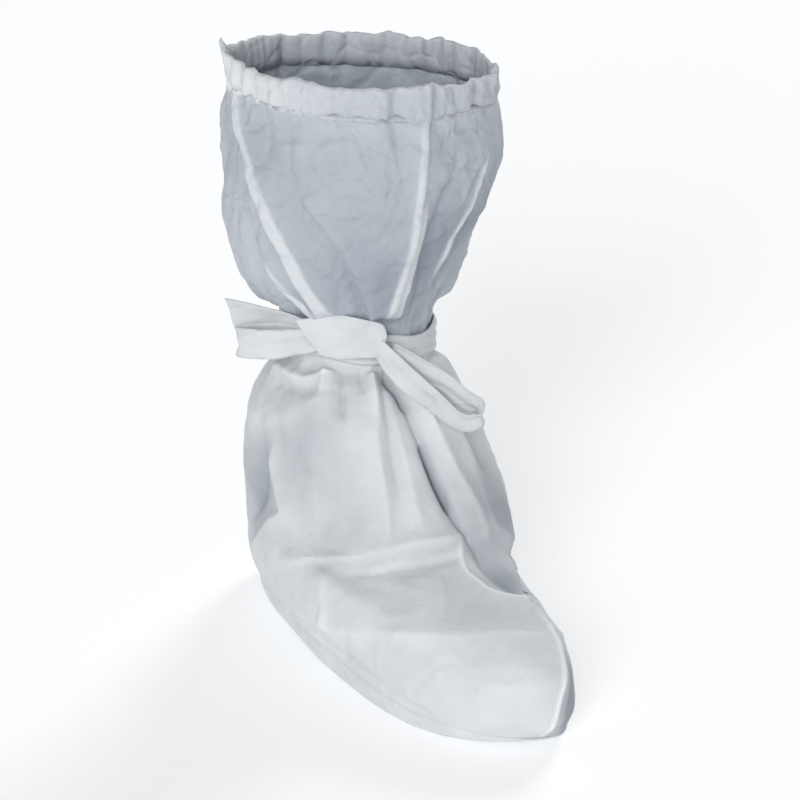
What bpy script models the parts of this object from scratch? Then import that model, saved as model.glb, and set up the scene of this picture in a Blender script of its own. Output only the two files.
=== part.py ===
"""Disposable boot cover, standing as worn: a loose two-panel upper gathered at the ankle by a tie,
a thin film sole with a turned-up margin, a ruffled elastic hem and a tie band with a bow.

The part's own sizes are in millimetres. +X runs to the toe, +Y to the outer side of a left foot, +Z up.
"""
import bpy
import numpy as np

MM = 0.001
WALL = 0.6              # laminate, drawn a little thicker than its real 0.3
SOLE_WALL = 1.0         # film sole
GAP = 0.3               # between neighbouring pieces
SHAFT_X, SHAFT_Y = -75.1, -3.9      # the shaft's axis from the middle of the box
TIE_HEIGHT = 190.0      # middle of the tie above the floor
TIE_WIDTH = 25.0        # width of the tie strip spread flat, before the bow folds it narrower
TIE_THICK = 1.0
WHITE = (0.86, 0.88, 0.89)
BOW_TURN = 41.0         # the bow's direction, from the front seam towards the inner side
AROUND, RISE = 56, 36   # facets of the upper, round and up

# The upper's sections. Each lies on a plane tilted from a back point up or down to a front point.
# rear, mid and fore are half widths at 15, 50 and 85 % of the length, on the inner and outer side.
# back_r, tip_in and tip_out are the outline's radii at its two ends.
SECTION_COLUMNS = (
    "name", "front_x", "front_y", "front_z", "back_x", "back_z", "back_r",
    "in_rear", "in_mid", "in_fore", "out_rear", "out_mid", "out_fore", "tip_in", "tip_out",
)
SECTIONS = (
    ("sole_edge", 235, -16, 6, -84, 11, 42, 46, 67, 57, 42, 58, 32, 34, 6),
    ("side_low", 244, -15, 22, -90, 26, 44, 52, 70, 59, 46, 62, 32, 34, 5),
    ("toe_face", 243, -14, 42, -91, 40, 44, 54, 70, 58, 47, 62, 27, 32, 4),
    ("toe_top", 222, -10, 62, -90, 54, 44, 54, 69, 52, 48, 61, 18, 26, 3),
    ("toe_crease", 182, -1, 67, -88, 66, 46, 54, 67, 46, 49, 61, 22, 22, 4),
    ("vamp_dip", 146, 3, 72, -85, 78, 48, 54, 66, 45, 50, 62, 36, 24, 10),
    ("instep", 114, 3, 87, -82, 92, 50, 54, 65, 46, 52, 64, 50, 30, 25),
    ("blouse", 95, 2, 112, -79, 112, 54, 52, 64, 48, 53, 62, 49, 40, 38),
    ("puff", 78, 0, 142, -73, 140, 54, 47, 62, 49, 52, 61, 46, 50, 44),
    ("below_tie", 58, 0, 166, -58, 166, 52, 36, 53, 41, 41, 53, 39, 54, 52),
    ("tie_low", 46.6, 0, 177, -46.6, 177, 46, 33, 46.5, 33, 33, 46.5, 33, 46, 46),
    ("tie_high", 46.6, 0, 203, -46.6, 203, 46, 33, 46.5, 33, 33, 46.5, 33, 46, 46),
    ("above_tie", 52, 0, 214, -55, 214, 52, 42, 62, 41, 41, 58, 39, 50, 50),
    ("calf_low", 61, 0, 236, -66, 236, 64, 51, 75, 49, 49, 69, 47, 56, 58),
    ("calf", 77, 0, 270, -80, 270, 76, 56, 81, 57, 57, 79, 57, 72, 74),
    ("calf_high", 90, 0, 308, -86, 311, 82, 55, 77, 60, 61, 86, 63, 86, 88),
    ("collar", 84, 0, 342, -81, 346, 80, 54, 74, 57, 59, 83, 60, 82, 84),
)
LAST = len(SECTIONS) - 1
STATION = {row[0]: float(k) for k, row in enumerate(SECTIONS)}

# The main folds. Columns: name, stops of its line as (angle, station), height of the crest (below 0
# for a trough), flank. Angle 0 is the front seam, 90 the inner side; a station is a row of SECTIONS.
FOLDS = (
    ("shaft inner ridge", ((44, 11.7), (65, 13.6), (80, 14.6), (104, 16.0)), 7.0, 12),
    ("shaft inner trough", ((74, 11.8), (84, 13.6), (101, 15.6)), -5.0, 13),
    ("shaft front trough", ((24, 11.8), (39, 13.3), (64, 14.9)), -4.5, 12),
    ("shaft front seam", ((4, 11.6), (7, 13.4), (7, 16.0)), 5.0, 10),
    ("shaft outer trough", ((4, 13.6), (-5, 14.7), (-19, 15.6)), -4.0, 11),
    ("shaft outer ridge", ((-15, 11.8), (-17, 14.0), (-28, 15.6)), 5.0, 12),
    ("shaft low trough", ((-20, 11.8), (-46, 13.1), (-58, 14.2)), -4.5, 12),
    ("shaft side ridge", ((-56, 11.8), (-72, 13.6), (-88, 16.0)), 6.0, 14),
    ("shaft side trough", ((-92, 11.8), (-98, 13.6), (-86, 15.0)), -5.0, 13),
    ("shaft rear ridge", ((-122, 11.8), (-116, 13.8), (-122, 16.0)), 6.0, 14),
    ("shaft rear trough", ((-150, 11.8), (-148, 14.6)), -5.0, 13),
    ("shaft back seam", ((180, 11.7), (180, 16.0)), 4.5, 11),
    ("shaft back trough", ((150, 11.8), (146, 15.2)), -5.0, 13),
    ("shaft back ridge", ((118, 11.8), (124, 13.8), (136, 16.0)), 6.0, 13),
    ("ankle first trough", ((22, 9.8), (25, 8.3), (36, 6.5)), -5.0, 9),
    ("ankle first ridge", ((33, 9.7), (32, 8.3), (41, 5.8)), 4.0, 10),
    ("ankle front trough", ((12, 9.8), (11, 7.5), (6, 6.1)), -5.0, 9),
    ("ankle front ridge", ((0, 9.7), (-8, 7.4), (-14, 5.9)), 5.0, 10),
    ("ankle outer trough", ((-24, 9.8), (-30, 7.6), (-36, 6.2)), -5.0, 11),
    ("ankle outer ridge", ((-46, 9.8), (-52, 7.8), (-64, 5.2)), 4.5, 12),
    ("ankle side trough", ((-76, 9.8), (-84, 7.8), (-92, 5.6)), -4.5, 12),
    ("ankle side ridge", ((-104, 9.8), (-108, 7.6), (-122, 4.2)), 4.5, 12),
    ("ankle rear trough", ((-136, 9.8), (-142, 7.4)), -4.5, 12),
    ("ankle small trough", ((42, 9.8), (43, 8.2)), -4.0, 9),
    ("ankle inner ridge", ((60, 9.6), (78, 8.5), (106, 7.8)), 3.5, 10),
    ("ankle inner trough", ((86, 9.7), (98, 8.8), (120, 8.2)), -4.0, 10),
    ("heel ridge", ((92, 7.5), (94, 5.5), (128, 2.0)), 4.0, 11),
    ("heel hollow", ((118, 7.6), (124, 5.6), (138, 3.6)), -5.0, 16),
    ("heel back seam", ((180, 9.7), (180, 1.0)), 3.0, 10),
    ("heel rear trough", ((152, 9.8), (156, 6.4)), -4.0, 13),
    ("instep overlap", ((-4, 5.9), (43, 5.7), (84, 4.1), (122, 2.0)), 3.5, 11),
    ("instep tuck", ((2, 5.3), (43, 5.0), (80, 3.3), (104, 1.9)), -2.5, 12),
    ("instep outer tuck", ((-16, 5.2), (-60, 4.4), (-104, 3.0)), -4.0, 13),
    ("vamp hollow", ((-4, 5.5), (-8, 4.9), (-6, 4.2)), -5.0, 12),
    ("vamp seam", ((4, 5.9), (14, 5.0), (13, 4.3), (2, 3.6)), 3.5, 10),
    ("toe edge", ((-2, 3.1), (23, 3.1), (45, 2.9), (61, 2.6), (90, 1.6)), 4.0, 11),
    ("toe outer edge", ((-6, 3.0), (-40, 2.6), (-74, 2.0)), 1.5, 12),
)
ROW_NUMBERS = (0, 13, 18, 25, RISE - 1)     # rows of facets, and the stations they stand at
ROW_STATIONS = (0, 6.0, 9.0, 12.4, LAST)
PLEATS_UNDER_TIE = 17
PLEAT_DEPTH = 1.1
EDGE_LIFT = 6.0         # the sole's margin is taller along the waist than at heel and toe
TIE_STATION = (STATION["tie_low"] + STATION["tie_high"]) / 2
TIE_TILT, TIE_TILT_TO, TIE_TILT_SPREAD = 5.0, 125.0, 1.2    # the tie is higher towards the inner back
HEM_TILT, HEM_TILT_TO, HEM_TILT_FROM = 8.0, 50.0, 13.0      # the hem is higher towards the inner front


def smooth(x, known_x, known_y):
    """A monotone cubic run through a column of a table."""
    step = np.diff(known_x)
    rate = np.diff(known_y) / step
    slope = np.zeros_like(known_y)
    before, after = rate[:-1], rate[1:]
    rising = before * after > 0
    slope[1:-1][rising] = 2 * before[rising] * after[rising] / (before + after)[rising]
    slope[0], slope[-1] = rate[0], rate[-1]
    k = np.clip(np.searchsorted(known_x, x, side="right") - 1, 0, len(known_x) - 2)
    t = (x - known_x[k]) / step[k]
    return (
        (1 + 2 * t) * (1 - t) ** 2 * known_y[k]
        + t * (1 - t) ** 2 * step[k] * slope[k]
        + t * t * (3 - 2 * t) * known_y[k + 1]
        + t * t * (t - 1) * step[k] * slope[k + 1]
    )


def through_five(q, values):
    """A smooth run through five values at q = 0, 1/4, 1/2, 3/4 and 1."""
    knots = np.stack(np.broadcast_arrays(values[0], *values, values[-1]))
    k = np.broadcast_to(np.clip((q * 4).astype(int), 0, 3), knots.shape[1:])
    t = q * 4 - k
    a, b, c, d = (np.take_along_axis(knots, (k + j)[None], 0)[0] for j in range(4))
    return b + 0.5 * ((c - a) * t + (2 * a - 5 * b + 4 * c - d) * t**2 + (3 * b - a - 3 * c + d) * t**3)


def tilts(angle, at):
    """How much the tilted tie and the tilted hem raise the plain upper."""
    tie = np.cos(np.radians(angle - TIE_TILT_TO)) * np.exp(-(((at - TIE_STATION) / TIE_TILT_SPREAD) ** 2))
    rise = np.clip((at - HEM_TILT_FROM) / (LAST - HEM_TILT_FROM), 0, 1)
    hem = np.cos(np.radians(angle - HEM_TILT_TO)) * rise**2 * (3 - 2 * rise)
    return TIE_TILT * tie + HEM_TILT * hem


def plain_upper(angle, at):
    """Points of the upper without its folds. angle is 0 at the front seam and 90 on the inner side."""
    numbers = np.arange(len(SECTIONS), dtype=float)
    row = {}
    for k, name in enumerate(SECTION_COLUMNS[1:], 1):
        row[name] = smooth(at, numbers, np.array([float(section[k]) for section in SECTIONS]))
    turn = angle % 360
    inner = turn <= 180
    q = np.abs(turn - 180) / 180
    length = row["front_x"] - row["back_x"]
    quarter = np.sin(np.pi / 4)
    back = np.sqrt(row["back_r"] * length / 2)
    half = {}
    for side in ("in", "out"):
        tip = np.sqrt(row["tip_" + side] * length / 2)
        rear, mid, fore = row[side + "_rear"] / quarter, row[side + "_mid"], row[side + "_fore"] / quarter
        half[side] = through_five(q, (back, rear, mid, fore, tip))
    along = (1 - np.cos(np.pi * q)) / 2
    x = row["back_x"] + length * along
    y = row["front_y"] * along + np.sin(np.pi * q) * np.where(inner, -half["in"], half["out"])
    lift = EDGE_LIFT * np.sin(np.pi * q) ** 2 * np.clip(1 - at / 1.6, 0, 1)
    z = row["back_z"] + (row["front_z"] - row["back_z"]) * along + lift + tilts(angle, at)
    return np.stack(np.broadcast_arrays(x, y, z), -1)


def outward(angle, at):
    """Unit normals of the plain upper, from its two directions of travel."""
    round_way = plain_upper(angle + 0.5, at) - plain_upper(angle - 0.5, at)
    low, high = np.clip(at - 0.05, 0, LAST), np.clip(at + 0.05, 0, LAST)
    up_way = plain_upper(angle, high) - plain_upper(angle, low)
    normal = np.cross(up_way, round_way)
    return normal / np.linalg.norm(normal, axis=-1, keepdims=True)


def crest(distance, flank):
    """1 on a fold's crest, falling off along its flanks."""
    nose = 0.8 * flank
    return np.exp(-(np.sqrt(distance**2 + nose**2) - nose) / flank)


def turn_between(angle, other):
    return (angle - other + 180) % 360 - 180


def fold_heights(angle, at):
    """The sum of all folds. A fold's distance is in mm, from the size of a degree and a station there."""
    per_degree = np.linalg.norm(plain_upper(angle + 0.5, at) - plain_upper(angle - 0.5, at), axis=-1)
    low, high = np.clip(at - 0.2, 0, LAST), np.clip(at + 0.2, 0, LAST)
    per_station = np.linalg.norm(plain_upper(angle, high) - plain_upper(angle, low), axis=-1) / (high - low)
    total = np.zeros_like(per_degree)
    for _, stops, height, flank in FOLDS:
        nearest = np.full_like(total, np.inf)
        place = np.zeros_like(total)
        pieces = len(stops) - 1
        for k, ((angle_a, at_a), (angle_b, at_b)) in enumerate(zip(stops[:-1], stops[1:])):
            ax = turn_between(angle_a, angle) * per_degree
            ay = (at_a - at) * per_station
            dx = turn_between(angle_b, angle_a) * per_degree
            dy = (at_b - at_a) * per_station
            t = np.clip(-(ax * dx + ay * dy) / (dx * dx + dy * dy), 0, 1)
            away = np.hypot(ax + t * dx, ay + t * dy)
            closer = away < nearest
            nearest = np.where(closer, away, nearest)
            place = np.where(closer, (k + t) / pieces, place)
        fade = np.clip(np.minimum(place, 1 - place) * 7 + 0.15, 0, 1)
        total += height * fade * crest(nearest, flank)
    held = np.clip((np.abs(at - TIE_STATION) - 0.4) / 0.9, 0, 1)
    pleats = -PLEAT_DEPTH * (0.5 + 0.5 * np.cos(np.radians(angle) * PLEATS_UNDER_TIE))
    edge = np.clip(at / 0.8, 0, 1)
    return total * held * edge + pleats * (1 - held)


def upper_points(angle, at):
    return plain_upper(angle, at) + outward(angle, at) * fold_heights(angle, at)[..., None]


def to_world(points):
    return (points + np.array([SHAFT_X, SHAFT_Y, 0.0])) * MM


def grid_faces(rows, columns, wrap):
    """Quads of a grid whose columns run round the part, wrapped into a ring or left open."""
    last = columns if wrap else columns - 1
    quads = []
    for i in range(rows - 1):
        for j in range(last):
            k = (j + 1) % columns
            quads.append((i * columns + j, (i + 1) * columns + j, (i + 1) * columns + k, i * columns + k))
    return quads


def add_part(name, points, faces, colour):
    mesh = bpy.data.meshes.new(name)
    mesh.from_pydata(to_world(points.reshape(-1, 3)).tolist(), [], faces)
    mesh.validate()
    part = bpy.data.objects.new(name, mesh)
    parts.objects.link(part)
    material = bpy.data.materials.new(name)
    material.use_nodes = True
    shader = material.node_tree.nodes["Principled BSDF"]
    shader.inputs["Base Color"].default_value = (*colour, 1.0)
    shader.inputs["Roughness"].default_value = 0.55
    mesh.materials.append(material)
    return part


def thicken(part, thick, offset):
    """Gives a surface its wall. offset -1 grows it inwards and 1 outwards."""
    wall = part.modifiers.new("wall", "SOLIDIFY")
    wall.thickness = thick * MM
    wall.offset = offset
    wall.use_rim = True


def round_angles(count):
    return np.arange(count) * 360.0 / count


def make_upper():
    """The hollow upper, with rows closer together at the tie, where the folds gather."""
    at = np.interp(np.arange(RISE), ROW_NUMBERS, ROW_STATIONS)
    angle, station = np.meshgrid(round_angles(AROUND), at)
    part = add_part("upper", upper_points(angle, station), grid_faces(RISE, AROUND, True), (0.80, 0.83, 0.86))
    thicken(part, WALL, -1)


ARCH_RISE, ARCH_X, ARCH_HALF = 2.5, 22.0, 46.0      # the arch between heel and forefoot
SPRING_RISE, SPRING_X, TOE_X = 5.0, 165.0, 235.0    # the toe spring
HEEL_X, BALL_X = -45.0, 190.0                       # ends of the sole's middle line
MIDDLE_Y, MIDDLE_SLANT = -4.0, -0.07                # its place across the foot under the shaft, and its slant
# The sole in section, from the margin's edge to its middle. Columns: inset, share of the margin's height.
SOLE_ROWS = ((0.0, 1.0), (0.4, 0.5), (1.6, 0.16), (4.0, 0.0), (14.0, 0.0), (26.0, 0.0))


def under_sole(x):
    """Height of the sole's underside above the floor, 0 at the heel and under the ball of the foot."""
    arch = ARCH_RISE * np.clip(1 - ((x - ARCH_X) / ARCH_HALF) ** 2, 0, 1) ** 1.5
    spring = SPRING_RISE * np.clip((x - SPRING_X) / (TOE_X - SPRING_X), 0, 1) ** 2
    return arch + spring


def make_sole():
    """A shallow tray: the upper's lower edge carried down as a margin, then in along the floor."""
    angle = round_angles(AROUND)
    rim = upper_points(angle, np.zeros_like(angle))
    rim[:, 2] -= GAP
    middle_x = np.clip(rim[:, 0], HEEL_X, BALL_X)
    middle = np.stack([middle_x, MIDDLE_Y + MIDDLE_SLANT * np.maximum(middle_x, 0)], -1)
    inward = middle - rim[:, :2]
    reach = np.linalg.norm(inward, axis=1, keepdims=True)
    rings = []
    for inset, share in SOLE_ROWS:
        flat = rim[:, :2] + inward / reach * np.minimum(inset, 0.8 * reach)
        low = under_sole(flat[:, 0])
        rings.append(np.column_stack([flat, low + share * (rim[:, 2] - low)]))
    points = np.concatenate(rings[::-1])
    faces = grid_faces(len(rings), AROUND, True)
    half = AROUND // 2
    faces += [(k, k + 1, AROUND - k - 1, AROUND - k) for k in range(1, half - 1)]
    faces += [(0, 1, AROUND - 1), (half - 1, half, half + 1)]
    part = add_part("sole", points, faces, (0.76, 0.79, 0.82))
    thicken(part, SOLE_WALL, -1)


HEM_GATHERS, HEM_SWAYS, HEM_DIPS = 19, 7, 5     # waves round the hem: ruffles, slow sways, dips of its edge
RUFFLE, SWAY_SHARE, DIP = 1.5, 0.4, 0.8
# The hem's ring in section. Columns: distance out from the collar, height over it, share of the ruffle.
HEM_OUTSIDE = ((0.3, 0.3, 0.0), (1.4, 3.0, 0.35), (0.2, 7.0, 0.3), (1.6, 11.5, 0.75), (2.2, 16.0, 1.0))
HEM_THICK = 2.6


def make_hem():
    """The gathered hem: a thick ring with an elastic waist and a ruffled edge."""
    count = HEM_GATHERS * 4
    angle = round_angles(count)
    top = np.full_like(angle, float(LAST))
    collar, out = plain_upper(angle, top), outward(angle, top)
    out[:, 2] = 0
    out /= np.linalg.norm(out, axis=1, keepdims=True)
    turn = np.radians(angle)
    wave = np.sin(turn * HEM_GATHERS) + SWAY_SHARE * np.sin(turn * HEM_SWAYS + 1.0)
    profile = list(HEM_OUTSIDE) + [(far - HEM_THICK, high, wavy) for far, high, wavy in HEM_OUTSIDE[::-1]]
    rings = []
    for far, high, wavy in profile:
        ring = collar + out * (far + RUFFLE * wavy * wave)[:, None]
        ring[:, 2] += high + DIP * wavy * np.cos(turn * HEM_DIPS)
        rings.append(ring)
    rings.append(rings[0])
    faces = [tuple(k % (count * len(profile)) for k in quad) for quad in grid_faces(len(rings), count, True)]
    add_part("top_hem", np.concatenate(rings[:-1]), faces, (0.84, 0.86, 0.88))


BAND_OFF = 1.0          # the band's clearance from the gathered upper
BAND_AROUND = 56


def make_band():
    """The tie's own turn round the ankle, a flat ring clear of the gathers."""
    at = np.linspace(STATION["tie_low"] + 0.04, STATION["tie_high"] - 0.04, 4)
    angle, station = np.meshgrid(round_angles(BAND_AROUND), at)
    points = plain_upper(angle, station) + outward(angle, station) * BAND_OFF
    part = add_part("tie_band", points, grid_faces(len(at), BAND_AROUND, True), WHITE)
    thicken(part, TIE_THICK, 1)


def bow_space(points):
    """Bow points (along the strip, out from the axis, up from the tie's middle) in the part's own axes."""
    turn = np.radians(BOW_TURN)
    out = np.array([np.cos(turn), -np.sin(turn), 0.0])
    along = np.array([-np.sin(turn), -np.cos(turn), 0.0])
    up = np.array([0.0, 0.0, 1.0])
    moved = points[:, :1] * along + points[:, 1:2] * out + points[:, 2:3] * up
    return moved + np.array([0.0, 0.0, TIE_HEIGHT])


def curve_through(stops, count):
    """Evenly spaced points on a smooth curve through the rows of a short table."""
    stops = np.array(stops, float)
    run = np.concatenate([[0], np.cumsum(np.linalg.norm(np.diff(stops[:, :3], axis=0), axis=1))])
    fine = np.linspace(0, run[-1], count)
    return np.stack([smooth(fine, run, stops[:, k].copy()) for k in range(stops.shape[1])], -1)


def strip_solid(name, stops, count, thick, colour):
    """A flat strip along a curve. Each row: along, out, up, width, lean of the width out from upright."""
    path = curve_through(stops, count)
    line, width, lean = path[:, :3], path[:, 3], np.radians(path[:, 4])
    way = np.gradient(line, axis=0)
    way /= np.linalg.norm(way, axis=1, keepdims=True)
    upright = np.stack([np.zeros_like(lean), np.sin(lean), np.cos(lean)], -1)
    across = upright - way * (upright * way).sum(1, keepdims=True)
    across /= np.linalg.norm(across, axis=1, keepdims=True)
    face = np.cross(way, across)
    corners = ((-0.5, -0.5), (-0.5, 0.5), (0.5, 0.5), (0.5, -0.5))
    rings = [line + across * (a * width)[:, None] + face * (b * thick) for a, b in corners]
    points = bow_space(np.stack(rings, 1).reshape(-1, 3))
    faces = grid_faces(count, len(corners), True)
    faces.append((0, 1, 2, 3))
    faces.append(tuple(4 * (count - 1) + k for k in (3, 2, 1, 0)))
    return add_part(name, points, faces, colour)


KNOT_OUT, KNOT_HALF_TURN, KNOT_THICK = 51.6, 35.0, 3.6      # the wrap's radius, half angle and thickness
KNOT_UP = 3.0                                               # its middle above the tie's
KNOT_WIDTH, KNOT_SWELL = 0.62, 0.42                         # shares of the strip's width
# The bow's strips. Columns: along (+ towards the heel side), out, up, width, lean of the strip.
LOOP_LEFT = (
    (34, 44, 5, 15, 0), (46, 50.5, 4, 20, 4), (60, 53, 3.5, 21, 6), (67.5, 51.4, 3.5, 21, 6),
    (68, 48.8, 3.5, 21, 6), (60, 47.2, 4, 21, 6), (46, 46, 5, 19, 4), (35, 41, 5, 14, 0),
)
TAIL_LEFT = ((36, 37.4, 10, 14, 0), (50, 42.4, 14, 20, 3), (76, 43, 22, 22, 6))
LOOP_RIGHT = (
    (-34, 46.5, -7, 12, 0), (-42, 53.5, -16.5, 13, 4), (-52, 56.5, -26, 13, 4), (-62, 57, -34.5, 13, 4),
    (-70, 56.5, -40.5, 13, 8), (-77, 55, -41.5, 13, 8), (-82, 53, -38.5, 12, 8), (-81, 50.5, -33.5, 12, 8),
    (-73.5, 49.4, -29.5, 12, 8), (-59.5, 49.2, -18.5, 13, 6), (-47, 49, -11, 12, 6), (-37, 44, -3, 10, 0),
)
TAIL_RIGHT = ((-37.5, 39, -9, 10, 0), (-47, 45, -21, 10, 4), (-60, 46.5, -36, 10, 8))


def make_bow():
    """The knot's flat wrap, wider in its middle, and a loop and a tail on each side of it."""
    turn = np.radians(np.linspace(-KNOT_HALF_TURN, KNOT_HALF_TURN, 11))
    width = TIE_WIDTH * (KNOT_WIDTH + KNOT_SWELL * np.cos(turn * 2))
    flat = np.zeros_like(turn)
    knot = np.stack([KNOT_OUT * np.sin(turn), KNOT_OUT * np.cos(turn), flat + KNOT_UP, width, flat], -1)
    strip_solid("tie_knot", knot, 13, KNOT_THICK, WHITE)
    strip_solid("tie_loop_left", LOOP_LEFT, 26, TIE_THICK, WHITE)
    strip_solid("tie_tail_left", TAIL_LEFT, 10, TIE_THICK, WHITE)
    strip_solid("tie_loop_right", LOOP_RIGHT, 28, TIE_THICK, WHITE)
    strip_solid("tie_tail_right", TAIL_RIGHT, 10, TIE_THICK, WHITE)


for old in list(bpy.data.objects):
    bpy.data.objects.remove(old, do_unlink=True)
parts = bpy.data.collections.new("boot_cover")
bpy.context.scene.collection.children.link(parts)
make_upper()
make_sole()
make_hem()
make_band()
make_bow()
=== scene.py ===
# %% [markdown]
# # A disposable boot cover
# The cover is a loose white bag of film laminate that goes over a boot. A strip tied in a bow gathers it at
# the ankle, an elastic hem closes its top, and a plain film sole is welded to its lower edge.
# Cloth like this can be simulated, but a simulation rounds off the sharp packing creases that give it its
# look. Here every piece is a surface worked out with numpy: a plain form first, then folds laid on it.

import bpy
import numpy as np
from mathutils import Matrix, Vector


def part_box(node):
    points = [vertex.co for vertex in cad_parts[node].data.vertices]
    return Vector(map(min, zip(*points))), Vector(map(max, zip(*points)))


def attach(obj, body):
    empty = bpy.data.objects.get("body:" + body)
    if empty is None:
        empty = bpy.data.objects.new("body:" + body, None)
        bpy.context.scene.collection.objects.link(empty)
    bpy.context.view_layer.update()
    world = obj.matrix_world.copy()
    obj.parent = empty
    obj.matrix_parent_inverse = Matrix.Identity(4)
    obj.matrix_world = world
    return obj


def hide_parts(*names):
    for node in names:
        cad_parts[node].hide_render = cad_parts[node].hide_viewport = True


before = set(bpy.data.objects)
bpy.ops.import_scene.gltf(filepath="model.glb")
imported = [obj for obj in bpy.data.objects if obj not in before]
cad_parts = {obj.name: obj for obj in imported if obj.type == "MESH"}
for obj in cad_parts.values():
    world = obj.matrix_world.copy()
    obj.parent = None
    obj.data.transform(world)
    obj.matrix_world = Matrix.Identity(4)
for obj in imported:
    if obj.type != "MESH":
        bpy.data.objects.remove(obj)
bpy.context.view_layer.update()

MM = 0.001
band_low, band_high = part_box("tie_band")
AXIS = np.array((band_low + band_high) / 2)  # the tie band is a ring round the shaft's axis
TIE_HEIGHT = AXIS[2] / MM


def to_world(points):
    """Millimetres from the floor point under the shaft's axis, as metres in the frame."""
    return np.asarray(points) * MM + np.array([AXIS[0], AXIS[1], 0.0])


def add_object(name, data):
    """A new object of the scene."""
    made = bpy.data.objects.new(name, data)
    bpy.context.scene.collection.objects.link(made)
    return made


def unit(vectors):
    """The same directions with a length of 1."""
    return vectors / np.linalg.norm(vectors, axis=-1, keepdims=True)


print("nodes:", sorted(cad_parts), "tie height", round(TIE_HEIGHT, 1), "mm")

# %% [markdown]
# ## The camera
# The photograph looks down at the cover from the front of its inner side, with a long lens. The camera is
# placed first, from the turn and rise of that view, because the bow and the folds are judged through it.

# %% Place the camera at the photograph's viewing angle
VIEW_TURN = np.radians(34.5)  # from the toe's direction towards the inner side
VIEW_RISE = np.radians(21.5)  # above the floor
VIEW_FAR = 2200.0  # from the middle of the tie
PICTURE_WIDTH = 500.0  # how much of the cover's plane the picture takes in
MIDDLE_RIGHT, MIDDLE_DOWN = 26.5, 48.0  # the picture's middle, from the middle of the tie
SENSOR = 36.0

flat = np.cos(VIEW_RISE)
view_back = np.array([np.cos(VIEW_TURN) * flat, -np.sin(VIEW_TURN) * flat, np.sin(VIEW_RISE)])
view_right = np.array([np.sin(VIEW_TURN), np.cos(VIEW_TURN), 0.0])
view_up = np.cross(view_back, view_right)
tie_middle = np.array([0.0, 0.0, TIE_HEIGHT])
eye = tie_middle + view_right * MIDDLE_RIGHT - view_up * MIDDLE_DOWN + view_back * VIEW_FAR
pose = np.eye(4)
pose[:3] = np.column_stack([view_right, view_up, view_back, to_world(eye)])
camera = add_object("camera", bpy.data.cameras.new("camera"))
camera.data.sensor_width = SENSOR
camera.data.lens = SENSOR * VIEW_FAR / PICTURE_WIDTH
camera.matrix_world = Matrix(pose.tolist())
bpy.context.scene.camera = camera
print("camera at", np.round(to_world(eye), 3), "lens", round(camera.data.lens, 1), "mm")

# %% [markdown]
# ## From arrays to meshes
# A surface of two parameters is a grid of points. Its rows and columns are joined into quads, and the arrays
# go straight into the mesh. A thin wall is then a Solidify modifier on that one surface.

# %% Grid and mesh helpers


def grid_quads(rows, columns, ring):
    """Corners of each quad of a grid. ring joins the last column to the first."""
    last = columns if ring else columns - 1
    i, j = np.meshgrid(np.arange(rows - 1), np.arange(last), indexing="ij")
    k = (j + 1) % columns
    low, high = i * columns, (i + 1) * columns
    return np.stack([low + j, high + j, high + k, low + k], -1).reshape(-1, 4)


def cap_quads(columns):
    """Quads that close a ring of points: strips across it, from one half to the other."""
    j = np.arange(columns // 2 - 1)
    return np.stack([j, j + 1, columns - j - 2, columns - j - 1], -1)


def add_piece(name, points, quads, wall=0.0, side=-1.0):
    """A smooth mesh of quads in the frame, with a wall of that many mm on one side of it."""
    mesh = bpy.data.meshes.new(name)
    mesh.from_pydata(to_world(points.reshape(-1, 3)), [], quads)
    mesh.validate()
    mesh.shade_smooth()
    piece = add_object(name, mesh)
    if wall:
        thick = piece.modifiers.new("wall", "SOLIDIFY")
        thick.thickness = wall * MM
        thick.offset = side
    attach(piece, "root")
    print(name, len(mesh.vertices), "points,", len(quads), "quads")
    return piece


def set_point_values(piece, name, values):
    """A number for each point, which a material can read by this name."""
    layer = piece.data.attributes.new(name, "FLOAT", "POINT")
    layer.data.foreach_set("value", values.ravel().astype(np.float32))


def smooth_step(t):
    """0 up to t = 0, 1 from t = 1, and between them the even S of 3 t t - 2 t t t."""
    t = np.clip(t, 0.0, 1.0)
    return t * t * (3 - 2 * t)


def smooth(x, known_x, known_y):
    """A monotone cubic run through known values: it never overshoots them.

    Each piece is a Hermite cubic. Its slope at a value is the harmonic mean of the rates on both sides,
    or 0 where the run turns."""
    known_x, known_y = np.asarray(known_x, float), np.asarray(known_y, float)
    step = np.diff(known_x)
    rate = np.diff(known_y) / step
    slope = np.zeros_like(known_y)
    before, after = rate[:-1], rate[1:]
    rising = before * after > 0
    slope[1:-1][rising] = 2 * before[rising] * after[rising] / (before + after)[rising]
    slope[0], slope[-1] = rate[0], rate[-1]
    k = np.clip(np.searchsorted(known_x, x, side="right") - 1, 0, len(known_x) - 2)
    t = (x - known_x[k]) / step[k]
    return (
        (1 + 2 * t) * (1 - t) ** 2 * known_y[k]
        + t * (1 - t) ** 2 * step[k] * slope[k]
        + t * t * (3 - 2 * t) * known_y[k + 1]
        + t * t * (t - 1) * step[k] * slope[k + 1]
    )


print("a ring of 3 rows and 4 columns has", len(grid_quads(3, 4, True)), "quads")

# %% [markdown]
# ## The plain form of the upper
# The upper is two panels sewn together at the front and the back. Without its folds it is a smooth bag, wide
# over the foot, tight at the tie and wide again at the shaft. It could be sculpted, but a short table of
# sections keeps every size in view: each section lies on a plane tilted between a back and a front point.

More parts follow.
